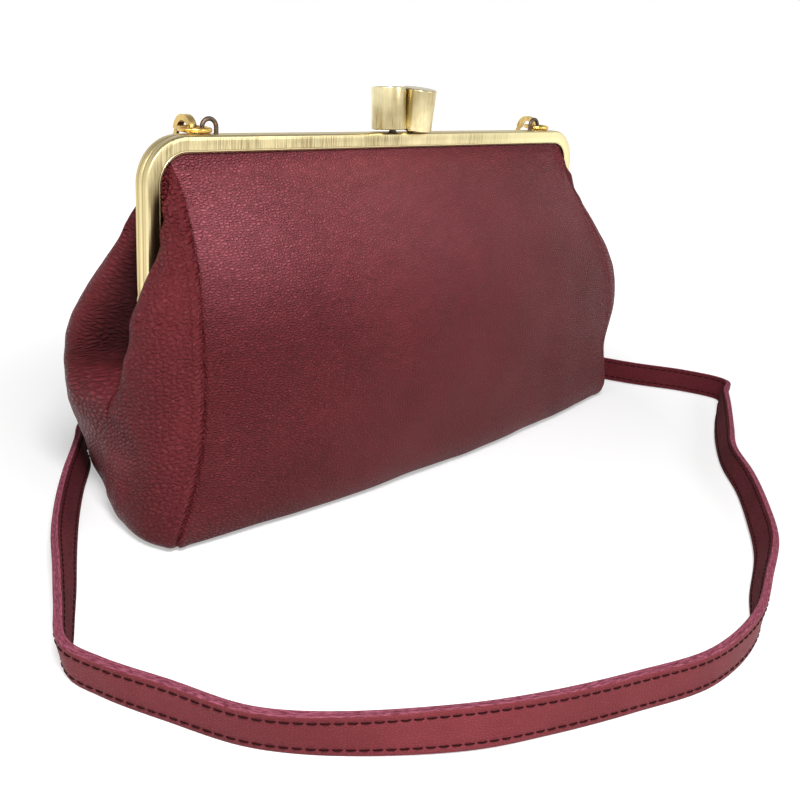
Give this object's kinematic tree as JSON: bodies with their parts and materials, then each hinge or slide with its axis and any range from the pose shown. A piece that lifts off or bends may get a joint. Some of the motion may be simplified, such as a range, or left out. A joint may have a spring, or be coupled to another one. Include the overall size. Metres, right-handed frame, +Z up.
{
  "type": "kiss-lock frame clutch bag",
  "caption": "Leather clutch crimped into a hinged brass frame with crossed cylinder knobs and a long flat shoulder strap clipped to rings behind",
  "frame": {"origin": "floor level under the middle of the bag, at the closed frame's middle plane", "axes": "+X along the frame to the right as seen from the front, +Y towards the back, +Z up"},
  "size_m": [0.3929, 0.2783, 0.1558],
  "materials": {
    "frame_brass": "antique brushed",
    "knob_brass": "polished, lightly worn",
    "rivet_brass": "dark worn",
    "dark_steel": "blackened",
    "gilt_ring": "bright gilt",
    "gilt_hook": "satin gilt",
    "strap_leather": "smooth with raw edges",
    "panel_leather": "pebbled, soft sheen",
    "gusset_leather": "pebbled, soft sheen",
    "board": "matt fibre board",
    "lining": "plain weave",
    "paper_cord": "matt paper"
  },
  "bodies": {
    "bag": {"rear_frame": "frame_brass", "hinge_rivet_left": "rivet_brass", "hinge_rivet_right": "rivet_brass", "rear_knob": "knob_brass", "rear_knob_stem": "dark_steel", "strap_loop_left": "dark_steel", "strap_loop_right": "dark_steel", "hook_left": "gilt_hook", "hook_right": "gilt_hook", "gate_pin_left": "gilt_hook", "gate_pin_right": "gilt_hook", "strap_eye_left": "gilt_hook", "strap_eye_right": "gilt_hook", "strap_end_left": "strap_leather", "strap_end_right": "strap_leather", "strap_rivet_left": "gilt_hook", "strap_rivet_right": "gilt_hook", "shoulder_strap": "strap_leather", "front_panel": "panel_leather", "rear_panel": "panel_leather", "gusset_left_front": "gusset_leather", "gusset_left_rear": "gusset_leather", "gusset_right_front": "gusset_leather", "gusset_right_rear": "gusset_leather", "base_panel": "gusset_leather", "base_board": "board", "front_board": "board", "rear_board": "board", "lining_body": "lining", "lining_front_top": "lining", "lining_rear_top": "lining", "slip_pocket": "lining", "rear_crimp_cord": "paper_cord"},
    "front_half": {"front_frame": "frame_brass", "front_knob": "knob_brass", "front_knob_stem": "dark_steel", "front_crimp_cord": "paper_cord"},
    "left_ring": {"ring_left": "gilt_ring"},
    "right_ring": {"ring_right": "gilt_ring"},
    "left_gate": {"gate_left": "gilt_hook"},
    "right_gate": {"gate_right": "gilt_hook"}
  },
  "joints": [
    {"name": "frame_hinge", "type": "hinge", "parent": "bag", "child": "front_half", "pos_m": [0, 0, 0.079], "axis": [1, 0, 0], "range_deg": [0, 65], "deforming": ["front_panel", "gusset_left_front", "gusset_right_front", "lining_front_top"]},
    {"name": "left_ring_swing", "type": "hinge", "parent": "bag", "child": "left_ring", "pos_m": [-0.1, 0.0018, 0.1383], "axis": [0, 1, 0], "range_deg": [0, 12]},
    {"name": "right_ring_swing", "type": "hinge", "parent": "bag", "child": "right_ring", "pos_m": [0.1, 0.0018, 0.1383], "axis": [0, -1, 0], "range_deg": [0, 12]},
    {"name": "left_gate_pivot", "type": "hinge", "parent": "bag", "child": "left_gate", "pos_m": [-0.10498, 0.01791, 0.12967], "axis": [1, 0, 0], "range_deg": [0, 24], "stiffness_Nm_per_rad": 0.0006, "springref_deg": -28.65},
    {"name": "right_gate_pivot", "type": "hinge", "parent": "bag", "child": "right_gate", "pos_m": [0.10498, 0.01791, 0.12967], "axis": [1, 0, 0], "range_deg": [0, 24], "stiffness_Nm_per_rad": 0.0006, "springref_deg": -28.65}
  ]
}
